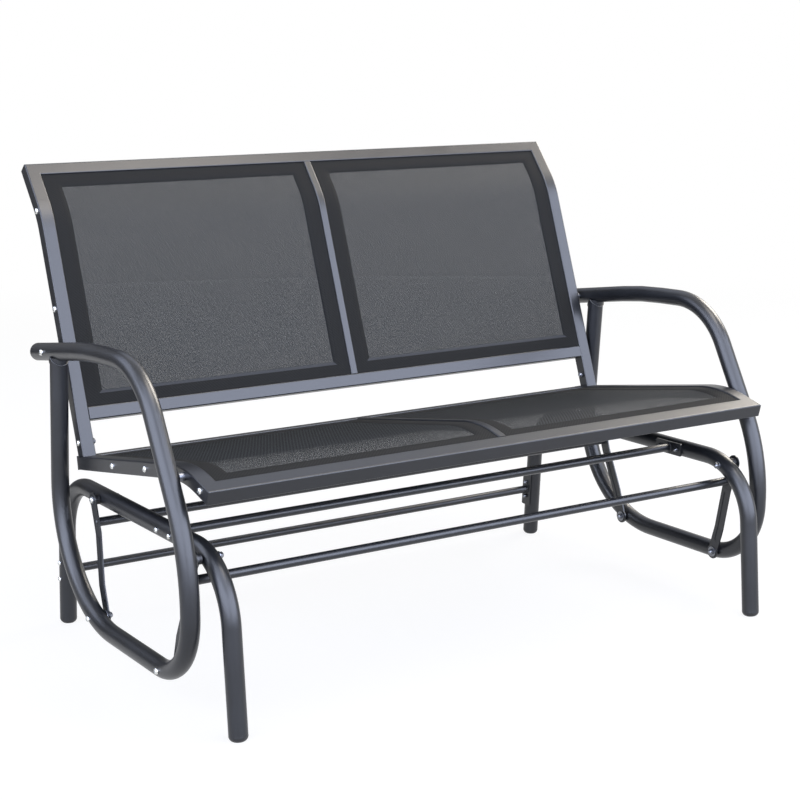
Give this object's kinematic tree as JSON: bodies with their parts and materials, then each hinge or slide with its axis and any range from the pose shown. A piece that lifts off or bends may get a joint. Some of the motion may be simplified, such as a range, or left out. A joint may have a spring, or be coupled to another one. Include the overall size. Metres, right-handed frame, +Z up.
{
  "type": "glider bench",
  "caption": "Two-seat porch glider: sling-mesh seat and back in a bent steel frame, hung on swinging links from a floor base.",
  "frame": {"origin": "on the floor, under the centre of the overall box of the bench at rest", "axes": "+X along the bench to the right as seen from the front, the bench faces -Y, +Z up"},
  "size_m": [1.248, 0.7624, 0.8663],
  "materials": {
    "powder_coat": "semi-gloss charcoal powder coat",
    "sling_mesh": "woven vinyl-coated polyester mesh, slightly see-through",
    "black_plastic": "moulded black plastic",
    "nylon": "dark nylon",
    "zinc_hardware": "bright zinc plate"
  },
  "bodies": {
    "base": {"base_frame_left": "powder_coat", "base_frame_right": "powder_coat", "foot_cap_front_left": "black_plastic", "foot_cap_front_right": "black_plastic", "foot_cap_rear_left": "black_plastic", "foot_cap_rear_right": "black_plastic", "tie_bar_front": "powder_coat", "tie_bar_rear": "powder_coat", "tie_bar_plates_front": "powder_coat", "tie_bar_plates_rear": "powder_coat", "tie_bar_bolts": "zinc_hardware", "tie_bar_nuts": "zinc_hardware", "upper_pivot_bolts": "zinc_hardware", "upper_pivot_washers": "zinc_hardware", "upper_pivot_nuts": "zinc_hardware"},
    "front_swing": {"link_front_left": "powder_coat", "link_front_right": "powder_coat", "link_bar_front": "powder_coat", "link_bar_screws_front": "powder_coat", "upper_bushes_front": "nylon", "lower_bushes_front": "nylon"},
    "rear_swing": {"link_rear_left": "powder_coat", "link_rear_right": "powder_coat", "link_bar_rear": "powder_coat", "link_bar_screws_rear": "powder_coat", "upper_bushes_rear": "nylon"},
    "seat": {"arm_bolts": "zinc_hardware", "arm_end_plug_left": "black_plastic", "arm_end_plug_right": "black_plastic", "arm_nuts": "zinc_hardware", "arm_spacers": "powder_coat", "back_centre_rail": "powder_coat", "back_foot_bolts": "zinc_hardware", "back_foot_nuts": "zinc_hardware", "back_lower_rail": "powder_coat", "back_mesh_left": "sling_mesh", "back_mesh_right": "sling_mesh", "back_side_rail_left": "powder_coat", "back_side_rail_right": "powder_coat", "back_side_screws": "zinc_hardware", "back_stub_posts": "powder_coat", "back_top_rail": "powder_coat", "lower_pivot_bolts": "zinc_hardware", "lower_pivot_nuts": "zinc_hardware", "lower_pivot_washers": "zinc_hardware", "lower_sleeves_rear": "nylon", "seat_centre_rail": "powder_coat", "seat_front_rail": "powder_coat", "seat_loop_bolts": "zinc_hardware", "seat_loop_spacers": "zinc_hardware", "seat_mesh_left": "sling_mesh", "seat_mesh_right": "sling_mesh", "seat_rail_end_plugs": "black_plastic", "seat_rear_rail": "powder_coat", "seat_side_rail_left": "powder_coat", "seat_side_rail_right": "powder_coat", "seat_side_screws": "zinc_hardware", "side_loop_left": "powder_coat", "side_loop_right": "powder_coat"}
  },
  "joints": [
    {"name": "glide", "type": "hinge", "parent": "base", "child": "front_swing", "pos_m": [0, -0.2811, 0.28027], "axis": [1, 0, 0], "range_deg": [-12, 12]},
    {"name": "seat_rock", "type": "hinge", "parent": "front_swing", "child": "seat", "pos_m": [0, -0.21961, 0.08523], "axis": [1, 0, 0], "range_deg": [-17.5, 17.5]},
    {"name": "rear_links", "type": "hinge", "parent": "base", "child": "rear_swing", "pos_m": [0, 0.1219, 0.2895], "axis": [1, 0, 0], "range_deg": [-12.4, 12.4]}
  ],
  "couplings": [
    {"joint": "seat_rock", "follows": "glide", "ratio": -1.446},
    {"joint": "rear_links", "follows": "glide", "ratio": 1.022}
  ]
}
